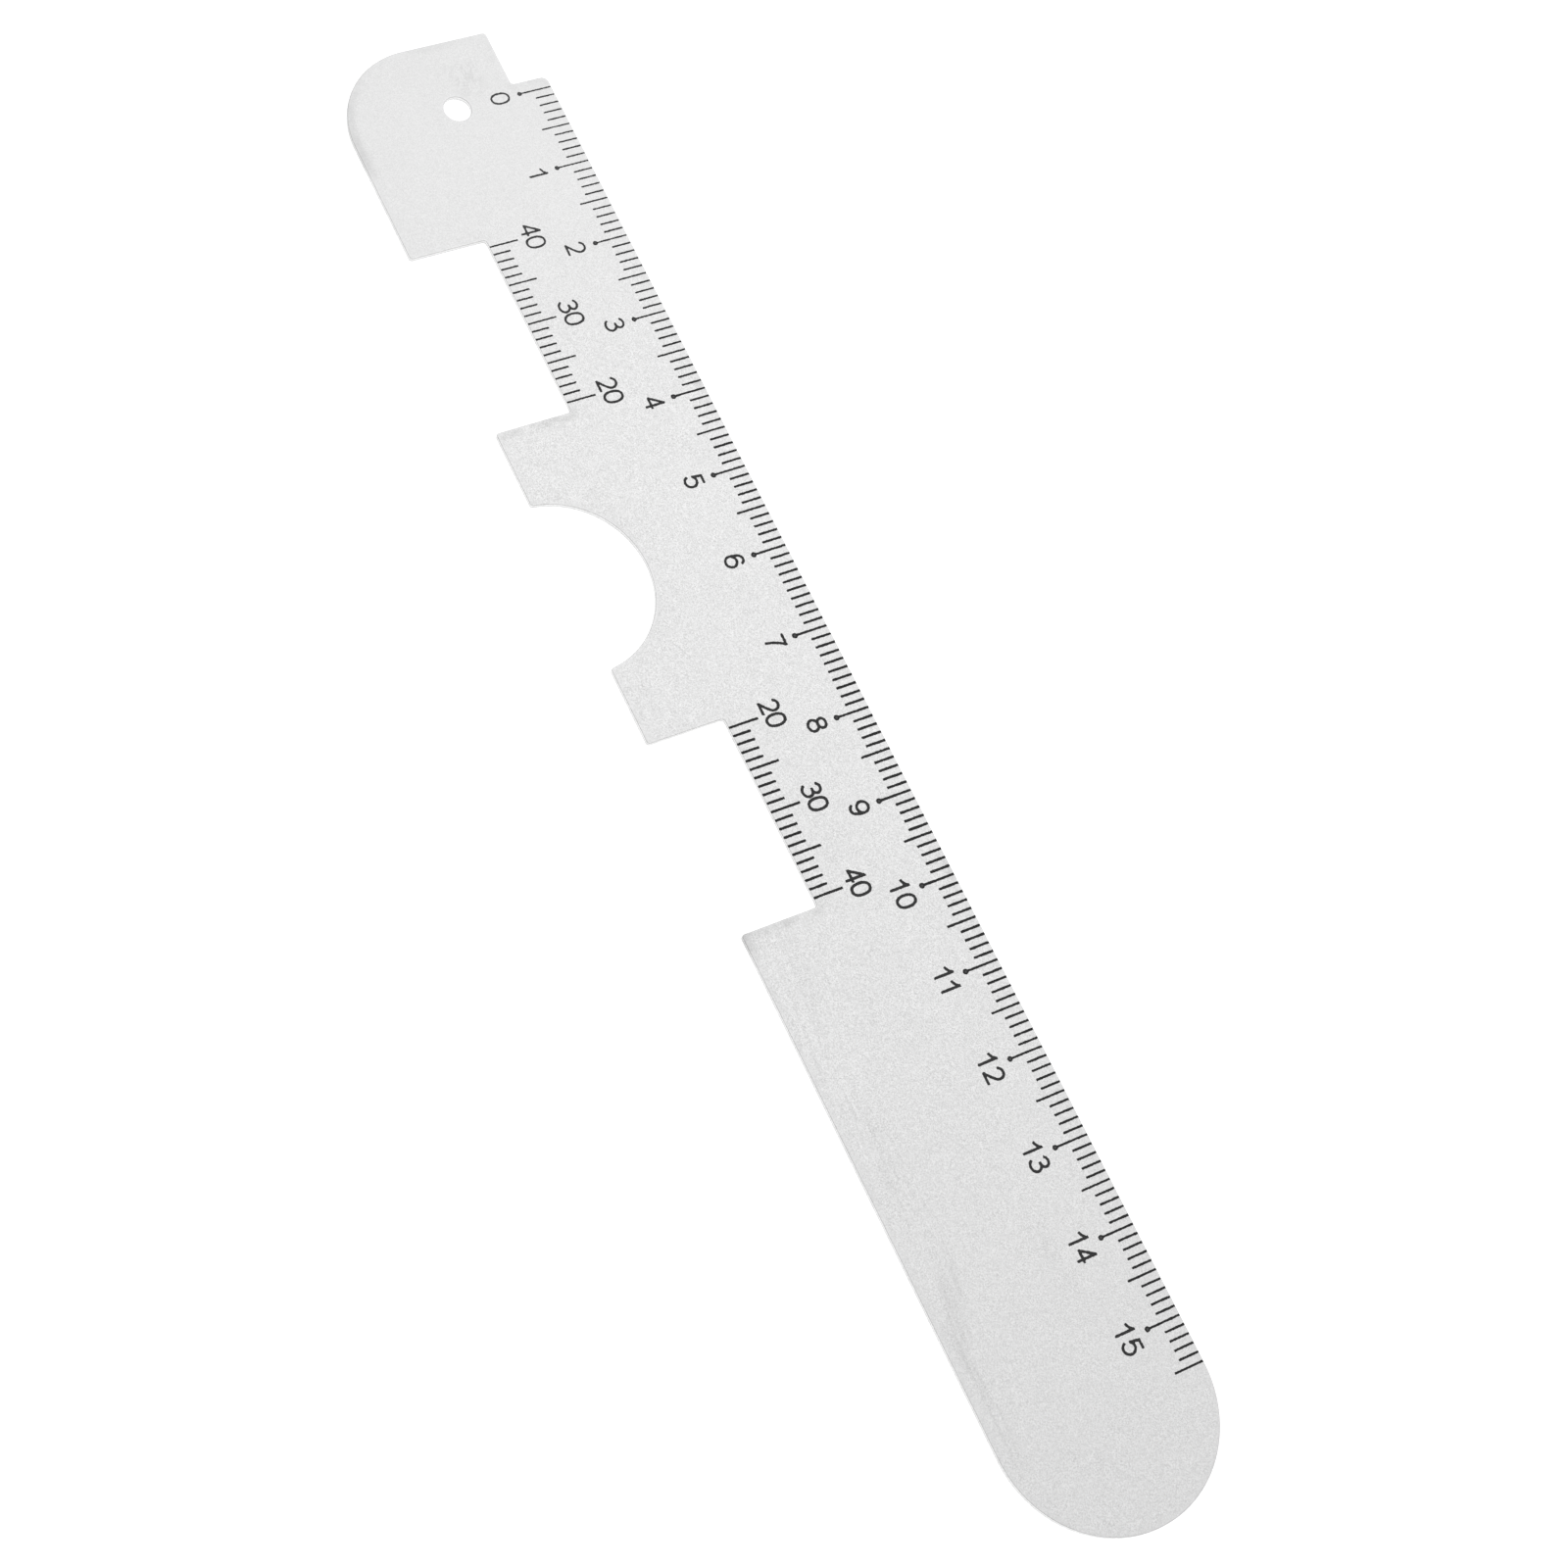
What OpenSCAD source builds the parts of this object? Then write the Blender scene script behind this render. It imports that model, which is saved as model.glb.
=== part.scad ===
// Pupillary distance ruler: a thin metal plate with a 15.5 cm scale along one long edge.
// The other long edge has a round notch for the nose between two windows, and each window
// carries its own 20 to 40 mm scale, counted outwards from the middle of the notch.
// +X runs from the zero end to the round end, +Y points to the scale edge, +Z out of the
// marked face. The origin is the middle of the plate's underside. All sizes are in millimetres.

/* [Plate] */
// Overall length of the plate
plate_length = 176; // [176:0.5:190]
// Width of the plate, and the diameter of its round end
plate_width = 24.5; // [24:0.5:25]
// Thickness of the sheet
plate_thickness = 0.5; // [0.4:0.1:1.5]
// Distance from the zero end to the zero mark
zero_from_end = 8.5; // [8:0.1:8.6]
// Length of the tongue of plate beside the zero end, where the scale edge is cut back
step_length = 7.1; // [6:0.1:7.3]
// How far the scale edge is cut back there
step_depth = 4.3; // [3:0.1:5]
// Radius of the large corner at the zero end
big_corner_radius = 10; // [8:0.5:12]
// Radius of the corner where the scale edge starts
scale_corner_radius = 0.8; // [0.3:0.1:0.9]
// Radius of the tongue's small corner and of the inside corner of the step
step_corner_radius = 0.4; // [0.2:0.1:1]

/* [Hanging hole] */
// Diameter of the hole
hole_diameter = 3.1; // [2:0.1:4]
// Distance from the scale edge to the middle of the hole
hole_from_scale_edge = 11.55; // [9:0.05:14]

/* [Nose notch and windows] */
// Distance from the zero mark to the middle of the nose notch
nose_from_zero = 57.25; // [56:0.25:58]
// Radius of the nose notch
nose_radius = 9.9; // [9:0.1:11]
// Depth of the notch and of both windows, from the edge they open into
opening_depth = 8.95; // [7:0.05:9]
// Width of each window
window_width = 22.1; // [21.5:0.1:24]
// Distance from the middle of the notch to the middle of each window
window_from_nose = 29.9; // [29.5:0.1:30.5]
// Radius of the inner corners of the windows
window_corner_radius = 0.4; // [0.2:0.05:1.5]
// Radius of the corners where the notch and the windows meet the edge
mouth_corner_radius = 0.35; // [0.1:0.05:0.8]

/* [Edge scale] */
// Last millimetre on the edge scale
scale_end = 155; // [105:5:155]
// First half centimetre whose mark is only as long as a millimetre mark
first_short_half = 65; // [55:10:65]
// Last such half centimetre
last_short_half = 75; // [75:10:85]
// Gap between the plate's edge and the marks
mark_gap = 0.05; // [0:0.05:0.5]
// Distance from the edge to the tip of a one millimetre mark
short_mark_reach = 2.4; // [1.5:0.05:3]
// Distance from the edge to the tip of a half centimetre mark
half_mark_reach = 3.5; // [3.1:0.05:3.8]
// Distance from the edge to the middle of the dot that ends a centimetre mark
dot_reach = 3.95; // [3.9:0.05:4.4]
// Diameter of the dot
dot_diameter = 0.6; // [0.3:0.05:0.7]
// Width of a one millimetre mark
short_mark_width = 0.25; // [0.1:0.05:0.4]
// Width of a half centimetre or a centimetre mark
long_mark_width = 0.24; // [0.1:0.02:0.4]

/* [Window scales] */
// Nearest distance from the middle of the notch that the window scales show
window_scale_start = 20; // [20:5:25]
// Farthest distance that they show
window_scale_end = 40; // [35:5:40]
// Length of a one millimetre mark at a window
window_short_mark = 2.1; // [1:0.05:3]
// Length of a five millimetre mark at a window
window_long_mark = 3.45; // [3.1:0.05:4]

/* [Numerals] */
// Height of a numeral
numeral_height = 2.34; // [1.8:0.02:2.4]
// Width of a numeral
numeral_width = 1.54; // [1.2:0.02:1.56]
// Width of the pen stroke
stroke = 0.27; // [0.16:0.01:0.32]
// Step from one digit to the next on the edge scale
edge_digit_step = 1.84; // [1.7:0.02:2]
// Step from one digit to the next on the window scales
window_digit_step = 1.6; // [1.6:0.02:1.8]
// Distance from the scale edge to the top of the edge numerals
edge_numeral_top = 5.16; // [5:0.02:5.6]
// Distance from the scale edge to the top of the window numerals
window_numeral_top = 9.14; // [8.6:0.02:9.6]

/* [Print] */
// Thickness of the printed marks
print_thickness = 0.03; // [0.02:0.01:0.1]

/* [Hidden] */
metal = [0.86, 0.86, 0.86];
print = [0.16, 0.16, 0.17];
overlap = 0.2;
round_steps = 96;
arc_step = 10;
bow_steps = 8;
oval_step = 10;
oval_power = 2.3;
end_gap = stroke / 2 / (numeral_height - stroke);
crowded_pair_step = 1.6;
half_width = plate_width / 2;
left = -plate_length / 2;
right = plate_length / 2;
zero = left + zero_from_end;
tab = left + step_length;
step_floor = half_width - step_depth;
nose = zero + nose_from_zero;
window_floor = opening_depth - half_width;
LEFT = -1;
RIGHT = 1;
CENTIMETRE = 10;
HALF_CENTIMETRE = 5;

// ---- Outline of the plate ----

// The web between two lines at right angles and an arc that touches both. Taken away it rounds an
// outside corner, and added it fills an inside one. It reaches a little past both lines.
module corner_web(radius) {
    difference() {
        translate([-overlap, -overlap]) square(radius + overlap);
        translate([radius, radius]) circle(radius, $fn = round_steps);
    }
}

// A rectangle given by two opposite corners
module block(low, high) {
    translate(low) square(high - low);
}

module body_outline() {
    block([left, big_corner_radius - half_width], [left + big_corner_radius, step_floor]);
    translate([left + big_corner_radius, big_corner_radius - half_width])
        circle(big_corner_radius, $fn = round_steps);
    block([tab, big_corner_radius - half_width], [left + big_corner_radius, half_width]);
    block([left + big_corner_radius, -half_width], [right - half_width, half_width]);
    translate([right - half_width, 0]) circle(half_width, $fn = round_steps);
    translate([tab, step_floor]) rotate(90) corner_web(step_corner_radius);
}

module body_corner_cuts() {
    translate([tab, half_width]) rotate(-90) corner_web(scale_corner_radius);
    translate([left, step_floor]) rotate(-90) corner_web(step_corner_radius);
}

// One window, side being LEFT or RIGHT of the notch, with round inner corners and mouth corners
module window_cut(side) {
    near = nose + side * window_from_nose - window_width / 2;
    far = near + window_width;
    difference() {
        block([near, -half_width - overlap], [far, window_floor]);
        translate([near, window_floor]) rotate(-90) corner_web(window_corner_radius);
        translate([far, window_floor]) rotate(180) corner_web(window_corner_radius);
    }
    translate([near, -half_width]) rotate(90) corner_web(mouth_corner_radius);
    translate([far, -half_width]) corner_web(mouth_corner_radius);
}

// The notch is a circle whose middle lies a little outside the plate. A small circle that touches
// both the notch and the edge rounds each of its two mouth corners.
module nose_cut() {
    drop = nose_radius - opening_depth;
    reach = nose_radius + mouth_corner_radius;
    small_x = sqrt(reach * reach - pow(drop + mouth_corner_radius, 2));
    touch = nose_radius / reach * [small_x, drop + mouth_corner_radius] - [0, drop];
    translate([nose, -half_width]) {
        translate([0, -drop]) circle(nose_radius, $fn = 2 * round_steps);
        for (side = [LEFT, RIGHT]) scale([side, 1]) difference() {
            polygon([[small_x, mouth_corner_radius], touch, [touch[0], -overlap], [small_x, -overlap]]);
            translate([small_x, mouth_corner_radius]) circle(mouth_corner_radius, $fn = round_steps);
        }
    }
}

module plate() {
    color(metal) linear_extrude(plate_thickness) difference() {
        body_outline();
        body_corner_cuts();
        window_cut(LEFT);
        window_cut(RIGHT);
        nose_cut();
        translate([zero, half_width - hole_from_scale_edge]) circle(d = hole_diameter, $fn = round_steps);
    }
}

// ---- Digits, drawn with one pen ----

// Points along an arc. Digit points are fractions of the box that the middle of the pen moves in.
function arc(middle, radii, from, to) =
    let(steps = ceil(abs(to - from) / arc_step))
    [for (i = [0 : steps]) let(a = from + (to - from) * i / steps)
        middle + [radii[0] * cos(a), radii[1] * sin(a)]];

// Points along a curve that leaves a towards b and arrives at c from b
function bow(a, b, c) =
    [for (i = [0 : bow_steps]) let(t = i / bow_steps)
        pow(1 - t, 2) * a + 2 * t * (1 - t) * b + t * t * c];

// Fractions of the box to millimetres, measured from the digit's lower left corner
function in_mm(p) = [
    stroke / 2 + p[0] * (numeral_width - stroke),
    stroke / 2 + p[1] * (numeral_height - stroke)];

function across(p, q) = [p[1] - q[1], q[0] - p[0]] / norm(q - p);

// From point i of the pen's path to the edge of the stroke, so that the two sides of a corner meet
function to_edge(path, i) = let(
    before = i > 0 ? across(path[i - 1], path[i]) : across(path[0], path[1]),
    after = i < len(path) - 1 ? across(path[i], path[i + 1]) : before)
    (before + after) * stroke / 2 / ((before + after) * before);

// One open stroke of the pen, with square ends
module pen(points) {
    path = [for (p = points) in_mm(p)];
    last = len(path) - 1;
    polygon(concat(
        [for (i = [0 : last]) path[i] + to_edge(path, i)],
        [for (i = [last : -1 : 0]) path[i] - to_edge(path, i)]));
}

// A point on an oval that is fuller than an ellipse where power is over 2
function oval_point(middle, radii, angle, power) = middle + [
    radii[0] * sign(cos(angle)) * pow(abs(cos(angle)), 2 / power),
    radii[1] * sign(sin(angle)) * pow(abs(sin(angle)), 2 / power)];

module oval(middle, radii, power) {
    polygon([for (a = [0 : oval_step : 360 - oval_step]) oval_point(middle, radii, a, power)]);
}

// One closed loop of the pen
module loop(middle, radii, power = 2) {
    centre = in_mm(middle);
    size = [radii[0] * (numeral_width - stroke), radii[1] * (numeral_height - stroke)];
    difference() {
        oval(centre, size + [stroke, stroke] / 2, power);
        oval(centre, size - [stroke, stroke] / 2, power);
    }
}

module digit_0() {
    loop([0.5, 0.5], [0.5, 0.5], oval_power);
}

module digit_1() {
    pen([[0.74, -end_gap], [0.74, 1 + end_gap]]);
    pen(bow([0.74, 1], [0.58, 0.8], [0.12, 0.7]));
}

module digit_2() {
    pen(concat(
        arc([0.49, 0.7], [0.46, 0.3], 166, -24),
        bow([0.885, 0.53], [0.67, 0.335], [0.07, 0.02])));
    pen([[-0.05, 0], [1.06, 0]]);
}

module digit_3() {
    pen(arc([0.46, 0.77], [0.42, 0.23], 164, -90));
    pen(arc([0.47, 0.28], [0.52, 0.28], 90, -164));
    pen([[0.32, 0.55], [0.5, 0.55]]);
}

module digit_4() {
    pen([[0.76, -end_gap], [0.76, 1 + end_gap]]);
    pen([[-0.09, 0.28], [1.06, 0.28]]);
    pen([[0.74, 1], [0.01, 0.29]]);
}

module digit_5() {
    pen([[0.95, 1], [0.2, 1], [0.09, 0.46]]);
    pen(concat(
        bow([0.13, 0.52], [0.26, 0.67], [0.5, 0.66]),
        arc([0.5, 0.33], [0.5, 0.33], 80, -164)));
}

// The long stroke of a 6 runs from its tip round to the top of the bowl. The short one starts
// inside its end and closes the bowl.
module digit_6() {
    pen(concat(
        arc([0.53, 0.72], [0.43, 0.28], 20, 140),
        bow([0.15, 0.83], [0.02, 0.65], [0.02, 0.34]),
        arc([0.51, 0.315], [0.49, 0.315], 190, 450)));
    pen(arc([0.51, 0.315], [0.49, 0.315], 83, 158));
}

module digit_7() {
    pen([[-0.05, 1], [1.05, 1]]);
    pen(bow([0.95, 0.96], [0.48, 0.56], [0.36, -end_gap]));
}

module digit_8() {
    loop([0.5, 0.77], [0.43, 0.23]);
    loop([0.5, 0.28], [0.5, 0.28]);
}

// A 9 is a 6 turned half round
module digit_9() {
    translate([numeral_width, numeral_height]) rotate(180) digit_6();
}

module digit(value) {
    if (value == 0) digit_0();
    if (value == 1) digit_1();
    if (value == 2) digit_2();
    if (value == 3) digit_3();
    if (value == 4) digit_4();
    if (value == 5) digit_5();
    if (value == 6) digit_6();
    if (value == 7) digit_7();
    if (value == 8) digit_8();
    if (value == 9) digit_9();
}

// A number of one or two digits, its middle at x = 0 and its top at y = 0. A pair of ones stands
// closer together than other pairs.
module number(value, digit_step) {
    digits = value < 10 ? [value] : [floor(value / 10), value % 10];
    gap = digits == [1, 1] ? min(digit_step, crowded_pair_step) : digit_step;
    for (i = [0 : len(digits) - 1])
        translate([(i - (len(digits) - 1) / 2) * gap - numeral_width / 2, -numeral_height])
            digit(digits[i]);
}

// ---- Printed marks ----

// Everything printed lies on the marked face of the plate
module printed() {
    color(print) translate([0, 0, plate_thickness]) linear_extrude(print_thickness) children();
}

// A mark on the edge scale, at so many millimetres, that reaches so far in from the edge
module edge_mark(at, reach, width) {
    block([zero + at - width / 2, half_width - reach], [zero + at + width / 2, half_width - mark_gap]);
}

// A mark at a window, on a side of the notch, at so many millimetres from the middle of the notch
module window_mark(side, at, length, width) {
    middle = nose + side * at;
    block([middle - width / 2, window_floor], [middle + width / 2, window_floor + length]);
}

// Whether the edge scale has one of its shortest marks at so many millimetres
function has_short_mark(at) = at % HALF_CENTIMETRE != 0 ||
    (at % CENTIMETRE != 0 && at >= first_short_half && at <= last_short_half);

module edge_millimetre_marks() {
    printed() for (at = [0 : scale_end]) if (has_short_mark(at))
        edge_mark(at, short_mark_reach, short_mark_width);
}

module edge_half_centimetre_marks() {
    printed() for (at = [HALF_CENTIMETRE : CENTIMETRE : scale_end]) if (!has_short_mark(at))
        edge_mark(at, half_mark_reach, long_mark_width);
}

// Each centimetre mark ends in a round dot
module edge_centimetre_marks() {
    printed() for (at = [0 : CENTIMETRE : scale_end]) {
        edge_mark(at, dot_reach, long_mark_width);
        oval([zero + at, half_width - dot_reach], [dot_diameter, dot_diameter] / 2, 2);
    }
}

module edge_numerals() {
    printed() for (at = [0 : CENTIMETRE : scale_end])
        translate([zero + at, half_width - edge_numeral_top])
            number(at / CENTIMETRE, edge_digit_step);
}

module window_short_marks(side) {
    printed() for (at = [window_scale_start : window_scale_end]) if (at % HALF_CENTIMETRE != 0)
        window_mark(side, at, window_short_mark, short_mark_width);
}

module window_long_marks(side) {
    printed() for (at = [window_scale_start : HALF_CENTIMETRE : window_scale_end])
        window_mark(side, at, window_long_mark, long_mark_width);
}

module window_numerals(side) {
    printed() for (at = [window_scale_start : CENTIMETRE : window_scale_end])
        translate([nose + side * at, half_width - window_numeral_top]) number(at, window_digit_step);
}

plate();
edge_millimetre_marks();
edge_half_centimetre_marks();
edge_centimetre_marks();
edge_numerals();
window_short_marks(LEFT);  // left_window_short_marks
window_long_marks(LEFT);  // left_window_long_marks
window_numerals(LEFT);  // left_window_numerals
window_short_marks(RIGHT);  // right_window_short_marks
window_long_marks(RIGHT);  // right_window_long_marks
window_numerals(RIGHT);  // right_window_numerals
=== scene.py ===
import math

import bmesh
import bpy
import numpy as np
from mathutils import Matrix, Quaternion, Vector
from mathutils.geometry import delaunay_2d_cdt


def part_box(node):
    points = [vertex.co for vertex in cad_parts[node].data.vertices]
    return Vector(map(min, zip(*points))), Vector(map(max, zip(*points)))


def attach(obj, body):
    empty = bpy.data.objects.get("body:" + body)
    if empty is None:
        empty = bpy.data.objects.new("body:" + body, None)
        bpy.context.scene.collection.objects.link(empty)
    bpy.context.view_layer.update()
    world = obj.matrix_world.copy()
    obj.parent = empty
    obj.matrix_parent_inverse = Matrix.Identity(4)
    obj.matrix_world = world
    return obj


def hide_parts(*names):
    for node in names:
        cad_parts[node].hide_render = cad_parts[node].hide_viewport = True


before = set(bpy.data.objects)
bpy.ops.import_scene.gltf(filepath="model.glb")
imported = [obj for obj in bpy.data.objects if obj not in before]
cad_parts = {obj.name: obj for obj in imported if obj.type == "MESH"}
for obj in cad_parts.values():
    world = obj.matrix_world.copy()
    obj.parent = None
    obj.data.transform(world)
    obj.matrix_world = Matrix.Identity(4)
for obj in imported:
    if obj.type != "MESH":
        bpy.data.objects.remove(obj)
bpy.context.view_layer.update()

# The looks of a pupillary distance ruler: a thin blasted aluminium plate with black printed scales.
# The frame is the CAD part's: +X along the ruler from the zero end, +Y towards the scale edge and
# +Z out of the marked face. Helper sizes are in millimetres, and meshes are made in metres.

MM = 0.001

# ---- Sizes and settings ----

plate_low, plate_high = (np.array(corner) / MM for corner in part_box("plate"))
LEFT, RIGHT = plate_low[0], plate_high[0]
HALF_WIDTH = plate_high[1]
THICKNESS = plate_high[2]

ZERO = LEFT + 8.5            # the zero mark, in line with the hanging hole
TAB = LEFT + 7.1             # where the scale edge starts
STEP_FLOOR = HALF_WIDTH - 4.3
BIG_CORNER = 10.0            # corner radii
SCALE_CORNER = 0.8
STEP_CORNER = 0.4
WINDOW_CORNER = 0.4
MOUTH_CORNER = 0.35
HOLE_CENTRE = (ZERO, HALF_WIDTH - 11.55)
HOLE_RADIUS = 1.55
NOSE = ZERO + 57.25
NOSE_RADIUS = 9.9
OPENING_DEPTH = 8.95
WINDOW_WIDTH = 22.1
WINDOW_FROM_NOSE = 29.9

ROLL = 0.06                  # the sheet's top edge is rolled over by the punch
BURR = 0.03                  # and its bottom edge is left nearly sharp
TORN_SHARE = 0.45            # share of the cut's height, from below, that is torn and not sheared
ROLL_STEPS = 5
SHARP_ANGLE = 40             # degrees, above which an edge is shaded sharp
LINE_STEP = 0.8              # spacing of outline points on straight and on round stretches
ARC_STEP = 0.2
LEAST_ARC_STEPS = 8
RIM_DEPTHS = (0.12, 0.3, 0.6, 1.0)   # rows of points inside the rim, for the wear along it
ROW_SLACK = 0.97             # a row's point is kept at this share of its depth from every rim
GRID_STEP = 2.0              # spacing of the points in the middle of a face
GRID_CLEARANCE = 1.4         # how far the grid stays from the rim, as a multiple of the deepest row
DEEPEST_RIM = 1.5            # distances from the rim are kept up to this

INK_THICKNESS = 0.012
INK_SINK = 0.006             # how far ink solids reach into the plate
INK_GRID = 0.04              # the grid on which the ink's edge is worked out
INK_SOFTENING = 2            # passes that round its corners
INK_WOBBLE = 0.042           # how far its edge wanders
WOBBLE_WAVES = ((1.3, 0.2), (0.5, 0.25), (0.26, 0.3), (0.15, 0.25))   # lengths and their shares
DOT_ROW = HALF_WIDTH - 3.95  # where the dots are that end the centimetre marks

CAMERA_TARGET = (5.36, -0.54, THICKNESS)
CAMERA_DISTANCE = 333.31
CAMERA_AZIMUTH = 31.518      # degrees, as the other views count them
CAMERA_ELEVATION = 60.522
CAMERA_ROLL = 35.316
CAMERA_LENS = 74.791
SENSOR_WIDTH = 36.0

METAL_GREY = (0.86, 0.86, 0.86)
FLOOR_HALF_SIZE = 8.0        # metres
FLOOR_GLOW = 0.65
WORLD_STRENGTH = 0.6


# ---- Outline of the plate: points in order, counter-clockwise, with outward normals ----

def line(start, end):
    """Points along a straight stretch, without its ends, which the corners beside it give."""
    start, end = np.array(start), np.array(end)
    along = (end - start) / np.linalg.norm(end - start)
    count = int(np.linalg.norm(end - start) / LINE_STEP)
    normal = (along[1], -along[0])
    return [(start + (end - start) * i / count, normal) for i in range(1, count)]


def corner(centre, radius, start, end):
    """Points round an arc, its angles in degrees. Normals point outwards where it turns left and
    inwards where it turns right, as at the inside of a window."""
    count = max(LEAST_ARC_STEPS, math.ceil(radius * abs(math.radians(end - start)) / ARC_STEP))
    side = 1 if end > start else -1
    points = []
    for i in range(count + 1):
        angle = math.radians(start + (end - start) * i / count)
        ray = np.array((math.cos(angle), math.sin(angle)))
        points.append((np.array(centre) + radius * ray, side * ray))
    return points


def window_outline(side):
    """A window's sides, floor and mouth corners. side is -1 for the first and 1 for the second."""
    near = NOSE + side * WINDOW_FROM_NOSE - WINDOW_WIDTH / 2
    far = near + WINDOW_WIDTH
    floor, edge = OPENING_DEPTH - HALF_WIDTH, -HALF_WIDTH
    c, m = WINDOW_CORNER, MOUTH_CORNER
    return (
        corner((near - m, edge + m), m, 270, 360)
        + line((near, edge + m), (near, floor - c))
        + corner((near + c, floor - c), c, 180, 90)
        + line((near + c, floor), (far - c, floor))
        + corner((far - c, floor - c), c, 90, 0)
        + line((far, floor - c), (far, edge + m))
        + corner((far + m, edge + m), m, 180, 270))


def nose_outline():
    """The round notch, whose middle lies outside the plate, and a small arc at each mouth corner.
    Where two arcs touch, one gives the point."""
    drop = NOSE_RADIUS - OPENING_DEPTH
    rise = drop + MOUTH_CORNER
    reach = NOSE_RADIUS + MOUTH_CORNER
    across = math.sqrt(reach ** 2 - rise ** 2)
    tilt = math.degrees(math.asin(rise / reach))
    edge, m = -HALF_WIDTH, MOUTH_CORNER
    return (
        corner((NOSE - across, edge + m), m, 270, 360 - tilt)[:-1]
        + corner((NOSE, edge - drop), NOSE_RADIUS, 180 - tilt, tilt)
        + corner((NOSE + across, edge + m), m, 180 + tilt, 270)[1:])


def plate_outline():
    """The whole outline, starting at the large corner of the zero end."""
    edge, top = -HALF_WIDTH, HALF_WIDTH
    b, s, t = BIG_CORNER, SCALE_CORNER, STEP_CORNER
    stretches = [
        corner((LEFT + b, edge + b), b, 180, 270),
        window_outline(-1),
        nose_outline(),
        window_outline(1),
        corner((RIGHT - HALF_WIDTH, 0), HALF_WIDTH, -90, 90),
        corner((TAB + s, top - s), s, 90, 180),
        corner((TAB - t, STEP_FLOOR + t), t, 0, -90),
        corner((LEFT + t, STEP_FLOOR - t), t, 90, 180)]
    outline = []
    for stretch, following in zip(stretches, stretches[1:] + stretches[:1]):
        outline += stretch + line(stretch[-1][0], following[0][0])
    points, normals = zip(*outline)
    return np.array(points), np.array(normals)


def hole_outline():
    """The hanging hole, clockwise, so that its normals point out of the metal too."""
    points, normals = zip(*corner(HOLE_CENTRE, HOLE_RADIUS, 360, 0)[:-1])
    return np.array(points), np.array(normals)


# ---- Distances in the plane ----

def distance_to_segments(places, starts, ends):
    """For each place, its distance to the nearest of the segments."""
    nearest = np.full(len(places), np.inf)
    for a, b in zip(starts, ends):
        ab = b - a
        t = np.clip((places - a) @ ab / max(ab @ ab, 1e-12), 0, 1)
        nearest = np.minimum(nearest, np.linalg.norm(places - a - t[:, None] * ab, axis=1))
    return nearest


def segments_of(outlines):
    """The starts and the ends of all the segments of closed outlines."""
    starts = np.vstack([points for points, _ in outlines])
    ends = np.vstack([np.roll(points, -1, axis=0) for points, _ in outlines])
    return starts, ends


def inside_segments(places, starts, ends):
    """For each place, whether a ray from it crosses the closed loops of segments an odd number of
    times, which is whether it is inside."""
    inside = np.zeros(len(places), bool)
    for a, b in zip(starts, ends):
        if a[1] == b[1]:
            continue
        spans = (a[1] > places[:, 1]) != (b[1] > places[:, 1])
        cut = a[0] + (places[:, 1] - a[1]) / (b[1] - a[1]) * (b[0] - a[0])
        inside ^= spans & (places[:, 0] < cut)
    return inside


# ---- The plate ----

def rim_profile():
    """Insets and heights from the bottom face's rim to the top face's, with the rolled top edge."""
    profile = [(BURR, 0.0), (0.0, BURR), (0.0, THICKNESS * TORN_SHARE)]
    for i in range(ROLL_STEPS + 1):
        angle = math.pi / 2 * i / ROLL_STEPS
        profile.append((ROLL * (1 - math.cos(angle)), THICKNESS - ROLL * (1 - math.sin(angle))))
    return profile


def face_points(rims, depths):
    """Points inside a face: rows behind the rims at the given depths, and a grid in the middle."""
    starts, ends = segments_of(rims)
    rows = np.vstack([points - normals * depth for points, normals in rims for depth in depths])
    wanted = np.concatenate([np.full(len(points), depth) for points, _ in rims for depth in depths])
    kept = distance_to_segments(rows, starts, ends) > ROW_SLACK * wanted
    xs = np.arange(LEFT, RIGHT, GRID_STEP)
    ys = np.arange(-HALF_WIDTH, HALF_WIDTH, GRID_STEP)
    grid = np.array([(x, y) for x in xs for y in ys])
    grid = grid[distance_to_segments(grid, starts, ends) > max(depths) * GRID_CLEARANCE]
    places = np.vstack([rows[kept], grid])
    return places[inside_segments(places, starts, ends)]


def fill_face(mesh, rims, loops, height, upward):
    """Triangles between the rims' vertices and points inside, added to a bmesh."""
    inner = face_points(rims, RIM_DEPTHS)
    flat = np.vstack([points for points, _ in rims] + [inner])
    edges, first = [], 0
    for points, _ in rims:
        count = len(points)
        edges += [(first + i, first + (i + 1) % count) for i in range(count)]
        first += count
    placed, _, faces, origins, _, _ = delaunay_2d_cdt([Vector(p) for p in flat], edges, [], 0, 1e-7)
    corners = [vertex for loop in loops for vertex in loop]
    corners += [mesh.verts.new(Vector((*p, height)) * MM) for p in inner]
    vertices = [corners[origin[0]] for origin in origins]
    middles = np.array([sum((placed[i] for i in face), Vector((0, 0))) / 3 for face in faces])
    starts, ends = segments_of(rims)
    solid = inside_segments(middles, starts, ends)
    for face, keep in zip(faces, solid):
        if keep:
            order = face if upward else face[::-1]
            mesh.faces.new([vertices[i] for i in order])


def join_rings(mesh, low, high):
    """A band of four-sided faces between two rings with as many vertices."""
    for i, vertex in enumerate(low):
        following = (i + 1) % len(low)
        mesh.faces.new((vertex, low[following], high[following], high[i]))


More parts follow.
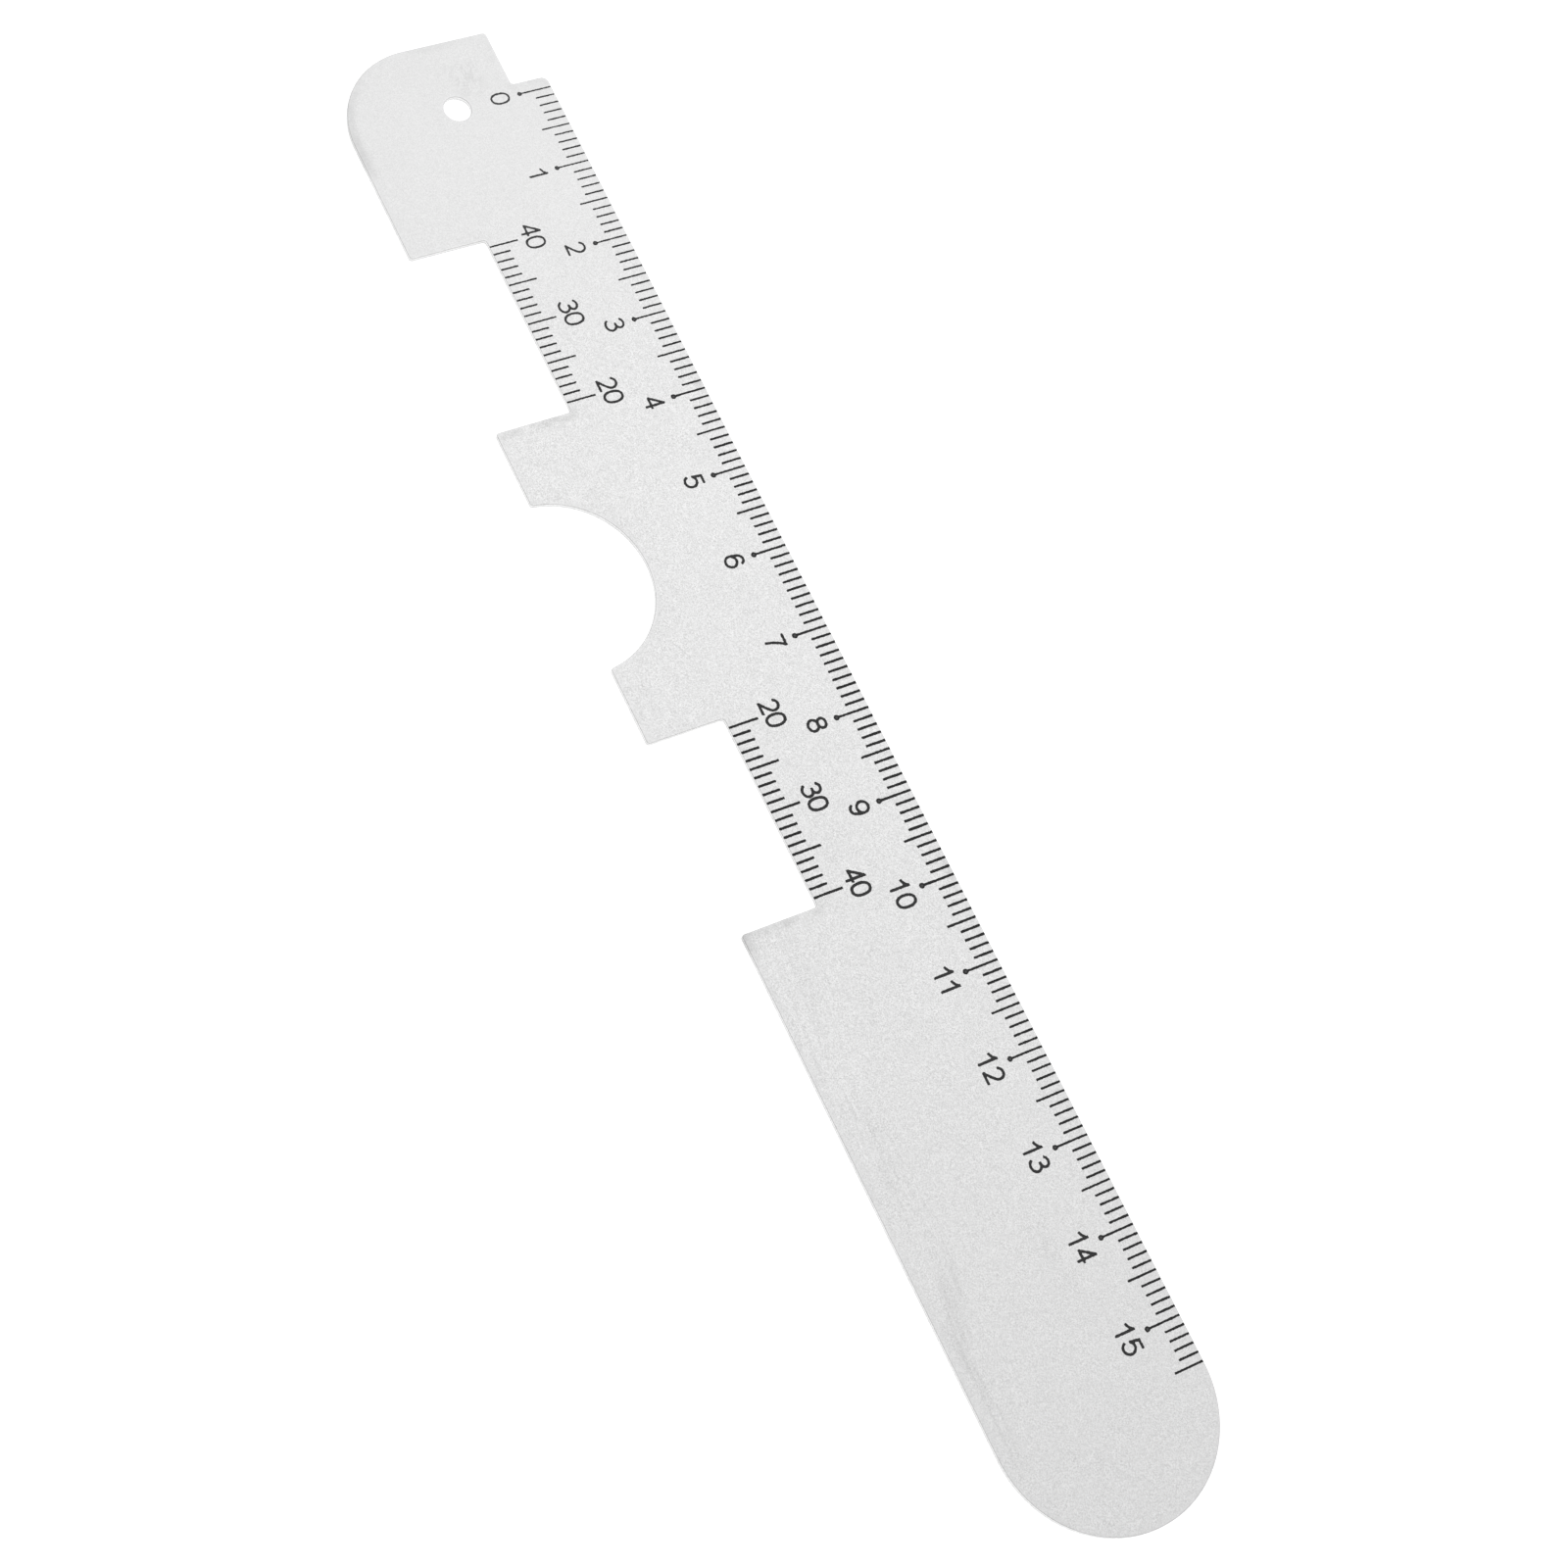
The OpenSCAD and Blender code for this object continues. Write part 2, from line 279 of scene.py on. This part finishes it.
def make_plate():
    """The sheet, as one closed piece with its rolled and its sharp edge."""
    mesh = bmesh.new()
    profile = rim_profile()
    outlines = [plate_outline(), hole_outline()]
    bottoms, tops = [], []
    for points, normals in outlines:
        rings = []
        for inset, height in profile:
            ring = points - normals * inset
            rings.append([mesh.verts.new(Vector((*p, height)) * MM) for p in ring])
        for low, high in zip(rings, rings[1:]):
            join_rings(mesh, low, high)
        bottoms.append(rings[0])
        tops.append(rings[-1])
    top_rims = [(points - normals * ROLL, normals) for points, normals in outlines]
    bottom_rims = [(points - normals * BURR, normals) for points, normals in outlines]
    fill_face(mesh, top_rims, tops, THICKNESS, True)
    fill_face(mesh, bottom_rims, bottoms, 0.0, False)
    plate = finish_piece("plate_sheet", mesh)
    store_rim_distance(plate, outlines)
    return plate


def store_rim_distance(piece, outlines):
    """Keeps each vertex's distance from the outline, in millimetres, for the wear along the rim."""
    count = len(piece.data.vertices)
    places = np.zeros(count * 3)
    piece.data.vertices.foreach_get("co", places)
    places = places.reshape(-1, 3)[:, :2] / MM
    starts, ends = segments_of(outlines)
    distance = np.minimum(distance_to_segments(places, starts, ends), DEEPEST_RIM)
    attribute = piece.data.attributes.new("rim_distance", "FLOAT", "POINT")
    attribute.data.foreach_set("value", distance.astype(np.float32))


def finish_piece(name, mesh):
    """A smooth-shaded object from a bmesh, in the scene."""
    data = bpy.data.meshes.new(name)
    mesh.to_mesh(data)
    mesh.free()
    piece = bpy.data.objects.new(name, data)
    bpy.context.scene.collection.objects.link(piece)
    data.shade_smooth()
    data.set_sharp_from_angle(angle=math.radians(SHARP_ANGLE))
    return piece


# ---- Ink: the CAD marks with softened corners and slightly wandering edges ----

def top_outlines(node):
    """The segments round the top faces of a CAD node, one array pair per separate mark."""
    mesh = bmesh.new()
    mesh.from_mesh(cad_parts[node].data)
    bmesh.ops.remove_doubles(mesh, verts=mesh.verts, dist=1e-7)
    top = max(v.co.z for v in mesh.verts) - 1e-6
    segments = []
    for edge in mesh.edges:
        flat = [face for face in edge.link_faces if all(v.co.z > top for v in face.verts)]
        if len(flat) == 1 and all(v.co.z > top for v in edge.verts):
            segments.append([v.index for v in edge.verts])
    places = np.array([v.co[:2] for v in mesh.verts]) / MM
    mesh.free()
    return [places[np.array(group)] for group in linked_groups(segments)]


def linked_groups(segments):
    """Segments sorted into groups that share ends."""
    parent = {}

    def root(i):
        while parent.setdefault(i, i) != i:
            i = parent[i]
        return i

    for a, b in segments:
        parent[root(a)] = root(b)
    groups = {}
    for a, b in segments:
        groups.setdefault(root(a), []).append((a, b))
    return list(groups.values())


def merge_nested(groups):
    """Groups whose boxes lie inside another's, such as the inside of a 0, join it."""
    boxes = [(g.reshape(-1, 2).min(0), g.reshape(-1, 2).max(0)) for g in groups]
    order = sorted(range(len(groups)), key=lambda i: -np.prod(boxes[i][1] - boxes[i][0]))
    merged = []
    for i in order:
        low, high = boxes[i]
        home = next((m for m in merged if (m[1][0] <= low).all() and (m[1][1] >= high).all()), None)
        if home:
            home[0].append(groups[i])
        else:
            merged.append(([groups[i]], boxes[i]))
    return [np.vstack(parts) for parts, _ in merged]


def wobble(places, seed):
    """A smooth wandering value, mostly from -1 to 1, at each place: three waves of each length."""
    draw = np.random.default_rng(seed)
    total = np.zeros(len(places))
    for length, share in WOBBLE_WAVES:
        for _ in range(3):
            angle = draw.uniform(0, 2 * math.pi)
            phase = draw.uniform(0, 2 * math.pi)
            ray = np.array((math.cos(angle), math.sin(angle))) * 2 * math.pi / length
            total += share / 2 * np.sin(places @ ray + phase)
    return total


def smooth_step(x, low, high):
    t = np.clip((x - low) / (high - low), 0, 1)
    return t * t * (3 - 2 * t)


def line_inset(x):
    """How far the edge of a printed line draws back, in millimetres. Print is finest at the zero
    end, heaviest near the second window and a little worn past it."""
    fine = 1 - smooth_step(x, ZERO, ZERO + 70)
    worn = smooth_step(x, ZERO + 95, ZERO + 120)
    heavy = smooth_step(x, ZERO + 68, ZERO + 80) * (1 - smooth_step(x, ZERO + 105, ZERO + 120))
    return 0.046 * fine + 0.01 * worn - 0.01 * heavy - 0.012


def numeral_inset(x):
    """The same for numerals, where the ink is heaviest between 8 and 12 centimetres."""
    fine = 1 - smooth_step(x, ZERO, ZERO + 60)
    heavy = smooth_step(x, ZERO + 60, ZERO + 85) * (1 - smooth_step(x, ZERO + 100, ZERO + 135))
    return 0.04 * fine - 0.01 * heavy - 0.015


def window_numeral_inset(x):
    """The numerals at the windows are a little bolder than those on the edge scale."""
    return numeral_inset(x) - 0.004


def inset_of(node):
    """The rule that a node's marks follow."""
    if "numerals" not in node:
        return line_inset
    return numeral_inset if node.startswith("edge") else window_numeral_inset


def soften(field):
    """Blurs the field a little, which rounds the corners of its zero line."""
    for _ in range(INK_SOFTENING):
        for axis in (0, 1):
            padded = np.pad(field, [(1, 1) if a == axis else (0, 0) for a in (0, 1)], mode="edge")
            low = np.take(padded, range(0, field.shape[axis]), axis)
            high = np.take(padded, range(2, field.shape[axis] + 2), axis)
            field = (low + 2 * field + high) / 4
    return field


def ink_field(segments, seed, inset):
    """The grid's axes, and the field that is below zero where there is ink."""
    margin = 4 * INK_GRID
    low = segments.reshape(-1, 2).min(0) - margin
    high = segments.reshape(-1, 2).max(0) + margin
    xs = np.arange(low[0], high[0] + INK_GRID, INK_GRID)
    ys = np.arange(low[1], high[1] + INK_GRID, INK_GRID)
    places = np.stack(np.meshgrid(xs, ys, indexing="ij"), -1).reshape(-1, 2)
    starts, ends = segments[:, 0], segments[:, 1]
    distance = distance_to_segments(places, starts, ends)
    distance[inside_segments(places, starts, ends)] *= -1
    field = soften(distance.reshape(len(xs), len(ys))).ravel()
    field += INK_WOBBLE * wobble(places, seed) + inset(places[:, 0])
    return xs, ys, field.reshape(len(xs), len(ys))


def crossing(xs, ys, field, a, b):
    """Where the field is zero between two neighbouring grid points."""
    share = field[a] / (field[a] - field[b])
    pa, pb = np.array((xs[a[0]], ys[a[1]])), np.array((xs[b[0]], ys[b[1]]))
    return pa + share * (pb - pa)


def contours(xs, ys, field):
    """Closed loops of points where the field is zero, found cell by cell."""
    following, places = {}, {}
    below = field < 0
    mixed = below[:-1, :-1].astype(int) + below[1:, :-1] + below[1:, 1:] + below[:-1, 1:]
    for i, j in np.argwhere((mixed > 0) & (mixed < 4)):
        ring = [(i, j), (i + 1, j), (i + 1, j + 1), (i, j + 1)]
        leaving, entering = [], []
        for a, b in zip(ring, ring[1:] + ring[:1]):
            if below[a] != below[b]:
                key = (min(a, b), max(a, b))
                places[key] = crossing(xs, ys, field, a, b)
                (leaving if below[a] else entering).append(key)
        for out, back in zip(leaving, entering):
            following[out] = back
    loops = []
    while following:
        key, loop = next(iter(following)), []
        while key in following:
            loop.append(places[key])
            key = following.pop(key)
        loops.append(loop)
    return loops


def make_ink(node, seed):
    """One piece for all of a node's marks, filled and given its thickness as a curve."""
    curve = bpy.data.curves.new(node, "CURVE")
    curve.dimensions = "2D"
    curve.fill_mode = "BOTH"
    curve.extrude = (INK_THICKNESS + INK_SINK) / 2 * MM
    for index, segments in enumerate(merge_nested(top_outlines(node))):
        for loop in contours(*ink_field(segments, seed * 1000 + index, inset_of(node))):
            spline = curve.splines.new("POLY")
            spline.points.add(len(loop) - 1)
            spline.use_cyclic_u = True
            flat = [value for p in loop for value in (p[0] * MM, p[1] * MM, 0, 1)]
            spline.points.foreach_set("co", flat)
    shape = bpy.data.objects.new(node + "_curve", curve)
    bpy.context.scene.collection.objects.link(shape)
    bpy.context.view_layer.update()
    evaluated = shape.evaluated_get(bpy.context.evaluated_depsgraph_get())
    data = bpy.data.meshes.new_from_object(evaluated)
    bpy.data.objects.remove(shape)
    middle = THICKNESS + (INK_THICKNESS - INK_SINK) / 2
    data.transform(Matrix.Translation((0, 0, middle * MM)))
    piece = bpy.data.objects.new(node + "_ink", data)
    bpy.context.scene.collection.objects.link(piece)
    data.set_sharp_from_angle(angle=math.radians(SHARP_ANGLE))
    return piece


# ---- Materials ----

class Nodes:
    """A material's node tree, with short calls that add its nodes and join them."""

    def __init__(self, name):
        self.material = bpy.data.materials.new(name)
        self.material.use_nodes = True
        self.tree = self.material.node_tree
        self.tree.nodes.clear()
        self.shader = self.tree.nodes.new("ShaderNodeBsdfPrincipled")
        output = self.tree.nodes.new("ShaderNodeOutputMaterial")
        self.tree.links.new(self.shader.outputs[0], output.inputs[0])
        object_place = self.tree.nodes.new("ShaderNodeTexCoord").outputs["Object"]
        self.mm = self.vector("SCALE", object_place, scale=1 / MM)

    def join(self, socket, value):
        """Links an output to the socket, or sets the socket to a plain value."""
        if isinstance(value, bpy.types.NodeSocket):
            self.tree.links.new(value, socket)
        elif value is not None:
            socket.default_value = value

    def math(self, operation, a, b=None, c=None, clamp=False):
        node = self.tree.nodes.new("ShaderNodeMath")
        node.operation = operation
        node.use_clamp = clamp
        for socket, value in zip(node.inputs, (a, b, c)):
            self.join(socket, value)
        return node.outputs[0]

    def vector(self, operation, a, b=None, scale=None):
        node = self.tree.nodes.new("ShaderNodeVectorMath")
        node.operation = operation
        self.join(node.inputs[0], a)
        self.join(node.inputs[1], b)
        if scale is not None:
            self.join(node.inputs["Scale"], scale)
        return node.outputs[0]

    def axes(self, place):
        node = self.tree.nodes.new("ShaderNodeSeparateXYZ")
        self.join(node.inputs[0], place)
        return node.outputs

    def noise(self, frequency, detail=2.0, roughness=0.5, distortion=0.0, offset=0.0, turn=0.0):
        """Noise around 0, about -0.5 to 0.5. frequency is per millimetre, a number or one per axis."""
        place = self.mm
        if turn:
            rotate = self.tree.nodes.new("ShaderNodeVectorRotate")
            rotate.rotation_type = "Z_AXIS"
            rotate.inputs["Angle"].default_value = math.radians(turn)
            self.join(rotate.inputs["Vector"], place)
            place = rotate.outputs[0]
        stretch = frequency if isinstance(frequency, tuple) else (frequency,) * 3
        place = self.vector("MULTIPLY", place, stretch)
        place = self.vector("ADD", place, (offset, offset * 0.7, offset * 0.3))
        node = self.tree.nodes.new("ShaderNodeTexNoise")
        self.join(node.inputs["Vector"], place)
        node.inputs["Scale"].default_value = 1.0
        node.inputs["Detail"].default_value = detail
        node.inputs["Roughness"].default_value = roughness
        node.inputs["Distortion"].default_value = distortion
        return self.math("SUBTRACT", node.outputs["Fac"], 0.5)

    def voronoi(self, frequency, offset, dimensions):
        """The outputs of a pattern of cells. frequency is per millimetre."""
        place = self.vector("ADD", self.vector("SCALE", self.mm, scale=frequency), (offset,) * 3)
        node = self.tree.nodes.new("ShaderNodeTexVoronoi")
        node.voronoi_dimensions = dimensions
        self.join(node.inputs["Vector"], place)
        node.inputs["Scale"].default_value = 1.0
        return node.outputs

    def cells(self, frequency, offset=0.0):
        """A random value from -0.5 to 0.5 for each small cell. frequency is per millimetre."""
        color = self.voronoi(frequency, offset, "3D")["Color"]
        return self.math("SUBTRACT", self.axes(color)[0], 0.5)

    def specks(self, frequency, share, radius, offset=0.0):
        """1 inside small round specks, at the middle of a share of the cells. radius is in mm."""
        cell = self.voronoi(frequency, offset, "2D")
        chosen = self.math("GREATER_THAN", self.axes(cell["Color"])[0], 1 - share)
        size = radius * frequency
        return self.times(chosen, self.ramp(cell["Distance"], size * 0.6, size * 1.2, 1.0, 0.0))

    def ramp(self, value, low, high, to_low=0.0, to_high=1.0):
        """A smooth step of the value, from to_low at low to to_high at high."""
        node = self.tree.nodes.new("ShaderNodeMapRange")
        node.interpolation_type = "SMOOTHSTEP"
        for socket, number in zip(node.inputs, (value, low, high, to_low, to_high)):
            self.join(socket, number)
        return node.outputs[0]

    def band(self, value, low, high, soft):
        """1 between low and high, and 0 outside, with soft ends."""
        rise = self.ramp(value, low - soft, low + soft)
        fall = self.ramp(value, high - soft, high + soft, 1.0, 0.0)
        return self.math("MULTIPLY", rise, fall)

    def total(self, *values):
        result = values[0]
        for value in values[1:]:
            result = self.math("ADD", result, value)
        return result

    def times(self, *values):
        result = values[0]
        for value in values[1:]:
            result = self.math("MULTIPLY", result, value)
        return result

    def attribute(self, name):
        node = self.tree.nodes.new("ShaderNodeAttribute")
        node.attribute_name = name
        return node.outputs["Fac"]

    def bump(self, height, distance):
        """height in millimetres, times distance."""
        node = self.tree.nodes.new("ShaderNodeBump")
        node.inputs["Strength"].default_value = 1.0
        node.inputs["Distance"].default_value = distance * MM
        self.join(node.inputs["Height"], height)
        self.tree.links.new(node.outputs[0], self.shader.inputs["Normal"])


def grain_tone(n, rim, grain_share):
    """Fine grain in the metal's tone, weaker in patches, beside the rim and where its share is low."""
    patches = n.noise(0.8, detail=1.0, offset=21)
    strength = n.total(0.34, n.times(patches, 0.35))
    return n.times(n.cells(11.5), strength, grain_share, n.ramp(rim, 0.1, 0.8, 0.6, 1.0))


def smudge_tone(n, x, y):
    """Dull smears beside the hanging hole and near the round end."""
    beside_hole = n.times(n.band(x, ZERO - 5.5, ZERO - 1.5, 1.2), n.band(y, 1.6, 5.0, 1.2))
    far = n.times(n.band(x, ZERO + 137, ZERO + 143, 2), n.band(y, 2.2, 3.6, 0.8), 0.7)
    wisps = n.noise((0.7, 1.5, 1.0), detail=3.0, roughness=0.65, distortion=0.8, offset=17, turn=25)
    smear = n.ramp(wisps, -0.1, 0.06, -0.08, 0.0)
    return n.times(n.total(beside_hole, far), smear)


def drag_tone(n, x, y):
    """Fine drag marks beside the window edge, that run into a smear and two long scratches."""
    drag = n.noise((0.09, 2.6, 1.0), detail=2.0, offset=7, turn=5.5)
    near = n.times(n.band(x, ZERO + 98, ZERO + 130, 6), n.band(y, -11.5, -7, 1.2))
    short = n.ramp(n.noise((0.35, 2.2, 1.0), detail=2.0, offset=27), 0.02, 0.16)
    streaks = n.times(n.band(x, ZERO + 118, ZERO + 134, 3), n.band(y, -10.5, -7, 1.2), short)
    return n.total(n.times(drag, near, 0.2), n.times(streaks, -0.06), scratch_tone(n, x, y, drag))


def scratch_tone(n, x, y, drag):
    """A bowed scratch and a straight one near the round end, and the smear that they start in."""
    along = n.math("SUBTRACT", x, ZERO + 152)
    bowed = n.total(y, n.times(along, along, 0.012))
    lines = n.total(
        n.times(n.band(bowed, -10.1, -9.85, 0.2), n.band(x, ZERO + 142, ZERO + 157, 2)),
        n.times(n.band(y, -10.9, -10.7, 0.18), n.band(x, ZERO + 145, ZERO + 156, 2)),
        n.times(n.band(bowed, -10.9, -9.9, 0.3), n.band(x, ZERO + 143, ZERO + 157, 3), 0.4))
    slanted = n.total(y, n.times(n.math("SUBTRACT", x, ZERO + 141), 0.3))
    smear = n.times(n.band(slanted, -10.6, -8.5, 0.7), n.band(x, ZERO + 136, ZERO + 145, 2.5))
    marked = n.math("MINIMUM", n.total(lines, n.times(smear, 0.9)), 1.1)
    return n.times(marked, n.total(-0.065, n.times(drag, 0.3)))


def rim_tone(n, x, y, z, rim):
    """Dark rubbed bands inside the rim, a line of painted shade on the rolled edge, and down the cut,
    streaks and a darker lower half that is partly torn metal and partly painted shade by the floor."""
    rubbed_most = n.total(
        n.times(n.band(x, LEFT, ZERO + 4, 3), 0.25),
        n.band(x, ZERO + 38.2, ZERO + 40, 1),
        n.band(x, ZERO + 98, ZERO + 100.5, 1),
        0.2)
    patches = n.ramp(n.noise(0.35, detail=2.0, offset=41), -0.12, 0.1, 0.0, -0.12)
    corner_band = n.total(
        n.times(n.band(x, ZERO - 6, ZERO + 5.5, 1.5), n.ramp(y, -11.0, -7.0, -0.1, 0.0)),
        n.times(n.band(x, ZERO + 97, ZERO + 101, 1.2), n.ramp(y, -10.0, -5.0, -0.09, 0.0)))
    by_hole = n.times(n.band(x, ZERO - 3, ZERO + 3, 1), n.band(y, -3, 4.5, 1))
    off_hole = n.math("SUBTRACT", 1.0, by_hole)
    rubbed = n.times(n.total(n.times(patches, rubbed_most), corner_band), off_hole)
    rubbed = n.times(rubbed, n.ramp(rim, 0.35, 1.3, 1.0, 0.0))
    above_cut = n.ramp(z, THICKNESS - ROLL, THICKNESS - ROLL * 0.5)
    # Painted shade: the colour is darkened along the rolled top edge, for the dark line its curve
    # shows.
    rolled = n.times(above_cut, n.ramp(rim, 0.04, 0.12, -0.13, 0.0))
    cut = n.times(n.ramp(rim, 0.0, 0.01, 1.0, 0.0), n.math("SUBTRACT", 1.0, above_cut))
    shear = n.noise((7.0, 7.0, 0.8), detail=2.0, offset=9)
    # Partly painted shade: the cut is darker towards its bottom, for its torn metal and for the shade
    # down by the floor.
    torn = n.ramp(z, THICKNESS * 0.15, THICKNESS * TORN_SHARE, -0.26, -0.12)
    return n.total(rubbed, rolled, n.times(cut, n.total(torn, n.times(shear, 0.16))))


def metal_roughness(n, rim, z, grain, clouds):
    """The upper part of the cut edge is burnished by the punch, and the lower part is torn."""
    burnished = n.ramp(rim, 0.0, 0.25, -0.1, 0.0)
    low_down = n.ramp(z, THICKNESS * 0.3, THICKNESS * 0.42, 0.12, 0.0)
    torn = n.times(low_down, n.ramp(rim, 0.0, 0.02, 1.0, 0.0))
    return n.total(0.42, n.times(grain, 0.12), n.times(clouds, 0.08), burnished, torn)


def metal_material():
    """Blasted aluminium sheet with clouds and faint traces of rolling."""
    n = Nodes("blasted_aluminium")
    x, y, z = n.axes(n.mm)
    front = n.ramp(z, THICKNESS - 0.05, THICKNESS - 0.01)
    rim = n.attribute("rim_distance")
    grain = n.noise(5.5, detail=2.5, roughness=0.65)
    coarse_grain = n.noise(2.2, detail=2.0, offset=31)
    clouds = n.noise(0.16, detail=3.0, offset=12)
    rolling = n.noise((0.05, 2.0, 1.0), detail=3.0, offset=5)
    nicks = n.times(n.specks(2.2, 0.22, 0.06), n.ramp(x, ZERO + 5, ZERO + 55, 0.085, 0.02))
    grain_share = n.times(
        n.ramp(x, ZERO, ZERO + 45, 0.4, 1.0),
        n.ramp(x, ZERO + 110, ZERO + 145, 1.0, 0.85))
    tone = n.total(
        1.0,
        grain_tone(n, rim, grain_share),
        n.times(n.total(smudge_tone(n, x, y), drag_tone(n, x, y), nicks), front),
        rim_tone(n, x, y, z, rim),
        n.times(coarse_grain, grain_share, 0.04),
        n.times(clouds, 0.035),
        n.times(rolling, 0.02))
    n.join(n.shader.inputs["Base Color"], n.vector("SCALE", METAL_GREY, scale=tone))
    n.shader.inputs["Metallic"].default_value = 1.0
    n.join(n.shader.inputs["Roughness"], metal_roughness(n, rim, z, grain, clouds))
    n.bump(n.times(n.total(grain, n.times(coarse_grain, 0.8)), grain_share), 0.01)
    return n.material


def ink_material():
    """Matt black print, a little thinner towards the zero end, in the numerals and inside each dot."""
    n = Nodes("black_print")
    x, y, _ = n.axes(n.mm)
    body = n.noise(4.0, detail=3.0, roughness=0.6)
    pits = n.noise(9.0, detail=1.0, offset=4)
    thin = n.ramp(x, ZERO, ZERO + 45, 0.03, 0.0)
    across = n.math("PINGPONG", n.math("SUBTRACT", x, ZERO), 5.0)
    up = n.math("SUBTRACT", y, DOT_ROW)
    from_dot = n.math("SQRT", n.total(n.times(across, across), n.times(up, up)))
    dot = n.ramp(from_dot, 0.06, 0.2, 0.07, 0.0)
    numeral = n.band(y, 0.5, 7.4, 0.1)
    mottle = n.times(body, n.total(0.03, n.times(numeral, 0.07)))
    tone = n.total(0.018, thin, dot, n.times(numeral, 0.018), mottle, n.times(pits, 0.02))
    grey = n.vector("SCALE", (1.0, 1.0, 1.02), scale=n.math("MAXIMUM", tone, 0.006))
    n.join(n.shader.inputs["Base Color"], grey)
    n.join(n.shader.inputs["Roughness"], n.total(0.55, n.times(body, 0.2)))
    n.shader.inputs["Specular IOR Level"].default_value = 0.3
    n.bump(n.total(body, pits), 0.004)
    return n.material


def floor_material():
    """Plain matt white that glows like a light table, with a faint unevenness."""
    n = Nodes("white_floor")
    tone = n.total(0.9, n.times(n.noise(0.01, detail=2.0), 0.01))
    n.join(n.shader.inputs["Base Color"], n.vector("SCALE", (1.0, 1.0, 1.0), scale=tone))
    n.shader.inputs["Roughness"].default_value = 0.9
    n.shader.inputs["Specular IOR Level"].default_value = 0.2
    n.shader.inputs["Emission Color"].default_value = (1.0, 1.0, 1.0, 1.0)
    n.shader.inputs["Emission Strength"].default_value = FLOOR_GLOW
    return n.material


# ---- Studio ----

def make_floor():
    mesh = bmesh.new()
    bmesh.ops.create_grid(mesh, x_segments=24, y_segments=24, size=FLOOR_HALF_SIZE)
    data = bpy.data.meshes.new("floor")
    mesh.to_mesh(data)
    mesh.free()
    floor = bpy.data.objects.new("floor", data)
    floor.data.materials.append(floor_material())
    bpy.context.scene.collection.objects.link(floor)


def direction(azimuth, elevation):
    """The unit vector from the object towards a place, with angles as the views count them."""
    a, e = math.radians(azimuth), math.radians(elevation)
    return Vector((math.sin(a) * math.cos(e), -math.cos(a) * math.cos(e), math.sin(e)))


def soft_box(name, azimuth, elevation, distance, size, power):
    """A large soft light that faces the object, its place in metres."""
    light = bpy.data.lights.new(name, "AREA")
    light.shape = "SQUARE"
    light.size = size
    light.energy = power
    box = bpy.data.objects.new(name, light)
    towards = direction(azimuth, elevation)
    box.location = towards * distance
    box.rotation_mode = "QUATERNION"
    box.rotation_quaternion = towards.to_track_quat("Z", "Y")
    bpy.context.scene.collection.objects.link(box)


def make_world(strength):
    world = bpy.data.worlds.new("studio")
    world.use_nodes = True
    world.node_tree.nodes["Background"].inputs["Color"].default_value = (1.0, 1.0, 1.0, 1.0)
    world.node_tree.nodes["Background"].inputs["Strength"].default_value = strength
    bpy.context.scene.world = world


def make_camera():
    """It looks down at the ruler, and is rolled so that the ruler runs down the picture."""
    lens = bpy.data.cameras.new("camera")
    lens.sensor_width = SENSOR_WIDTH
    lens.lens = CAMERA_LENS
    lens.clip_start, lens.clip_end = 0.01, 20.0
    camera = bpy.data.objects.new("camera", lens)
    back = direction(CAMERA_AZIMUTH, CAMERA_ELEVATION)
    camera.location = Vector(CAMERA_TARGET) * MM + back * CAMERA_DISTANCE * MM
    camera.rotation_mode = "QUATERNION"
    roll = Quaternion((0, 0, 1), math.radians(CAMERA_ROLL))
    camera.rotation_quaternion = (-back).to_track_quat("-Z", "Y") @ roll
    bpy.context.scene.collection.objects.link(camera)
    bpy.context.scene.camera = camera


def build():
    """The plate, and one piece of ink for each other CAD node."""
    metal, ink = metal_material(), ink_material()
    plate = make_plate()
    plate.data.materials.append(metal)
    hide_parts("plate")
    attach(plate, "root")
    for seed, node in enumerate(sorted(set(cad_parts) - {"plate"})):
        piece = make_ink(node, seed)
        piece.data.materials.append(ink)
        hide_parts(node)
        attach(piece, "root")


bpy.context.scene.view_settings.view_transform = "Standard"
build()
make_floor()
make_world(WORLD_STRENGTH)
soft_box("key", azimuth=-157, elevation=61, distance=1.8, size=1.6, power=2.3)
soft_box("glow", azimuth=-128, elevation=46, distance=1.6, size=1.3, power=1.5)
make_camera()
